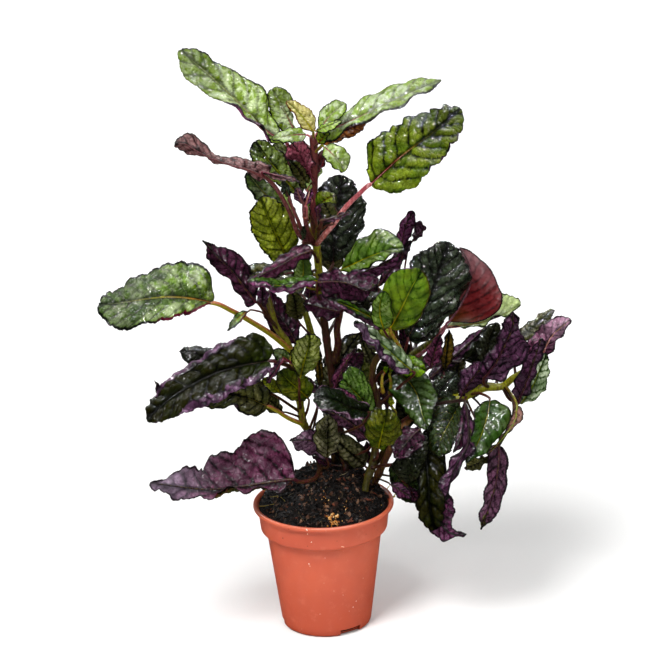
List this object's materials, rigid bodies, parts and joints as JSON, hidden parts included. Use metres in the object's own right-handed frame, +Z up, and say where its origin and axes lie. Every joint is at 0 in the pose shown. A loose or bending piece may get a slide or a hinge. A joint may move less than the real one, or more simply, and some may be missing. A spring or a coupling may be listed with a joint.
{
  "type": "potted purple waffle plant",
  "caption": "Purple waffle plant in a tapered round nursery pot: crinkled green leaves with purple undersides on thin stems rising from dark soil.",
  "frame": {"origin": "centre of the pot's flat underside", "axes": "+Z up along the pot's axis, -Y towards the pictured front, +X to its right"},
  "size_m": [0.2919, 0.1597, 0.3822],
  "materials": {
    "pot": "satin terracotta-coloured plastic",
    "soil": "moist dark peat, rough",
    "stem_maroon": "fresh stem, satin",
    "stem_olive": "fresh stem, satin",
    "stem_yellow_green": "fresh stem, satin",
    "stem_brown": "fresh stem, satin",
    "underside_broad_purple": "waffled leaf, satin",
    "leaf_dark_green": "waffled leaf, satin",
    "leaf_olive": "waffled leaf, satin",
    "leaf_grey_green": "waffled leaf, satin",
    "leaf_wet_dark": "waffled leaf, satin",
    "leaf_grey_olive": "waffled leaf, satin",
    "leaf_silver_green": "waffled leaf, satin",
    "leaf_glossy_green": "waffled leaf, satin",
    "underside_wine": "waffled leaf, satin",
    "leaf_deep_grey_green": "waffled leaf, satin",
    "leaf_bright_green": "waffled leaf, satin",
    "underside_purple": "waffled leaf, satin",
    "underside_mauve": "waffled leaf, satin",
    "underside_brown": "waffled leaf, satin",
    "underside_dark_purple": "waffled leaf, satin",
    "underside_wine_pink": "waffled leaf, satin",
    "leaf_lime": "waffled leaf, satin",
    "underside_lavender": "waffled leaf, satin"
  },
  "bodies": {
    "root": {"pot": "pot", "soil": "soil", "stem_main": "stem_maroon", "stem_left": "stem_olive", "stem_back": "stem_yellow_green", "stem_front": "stem_brown", "stem_mid": "stem_brown", "stem_right": "stem_yellow_green", "leaf_89": "underside_broad_purple", "leaf_87": "leaf_dark_green", "leaf_17": "leaf_olive", "leaf_22": "leaf_grey_green", "leaf_56": "leaf_wet_dark", "leaf_back_04": "leaf_grey_olive", "leaf_back_11": "leaf_olive", "leaf_01": "leaf_silver_green", "leaf_back_02": "leaf_olive", "leaf_back_08": "leaf_glossy_green", "leaf_18": "leaf_dark_green", "leaf_09": "leaf_silver_green", "leaf_57": "underside_wine", "leaf_back_10": "leaf_deep_grey_green", "leaf_53": "leaf_bright_green", "leaf_74": "underside_purple", "leaf_back_05": "leaf_dark_green", "leaf_back_09": "leaf_dark_green", "leaf_back_13": "leaf_dark_green", "leaf_26": "leaf_bright_green", "leaf_back_07": "leaf_dark_green", "leaf_84": "underside_mauve", "leaf_back_06": "leaf_olive", "leaf_64": "leaf_bright_green", "leaf_72": "leaf_dark_green", "leaf_05": "underside_brown", "leaf_back_03": "leaf_dark_green", "leaf_back_01": "leaf_dark_green", "leaf_31": "leaf_glossy_green", "leaf_82": "leaf_grey_olive", "leaf_23": "underside_purple", "leaf_70": "leaf_wet_dark", "leaf_71": "underside_purple", "leaf_back_12": "leaf_dark_green", "leaf_88": "leaf_dark_green", "leaf_33": "underside_dark_purple", "leaf_79": "underside_wine_pink", "leaf_65": "leaf_olive", "leaf_51": "leaf_deep_grey_green", "leaf_57b": "leaf_lime", "leaf_60": "leaf_grey_olive", "leaf_06": "leaf_dark_green", "leaf_80": "underside_purple", "leaf_48": "underside_lavender", "leaf_81": "leaf_grey_green", "leaf_40": "leaf_grey_olive", "leaf_73": "underside_purple", "leaf_46": "underside_mauve", "leaf_45": "leaf_dark_green", "leaf_50": "leaf_glossy_green"}
  },
  "joints": []
}
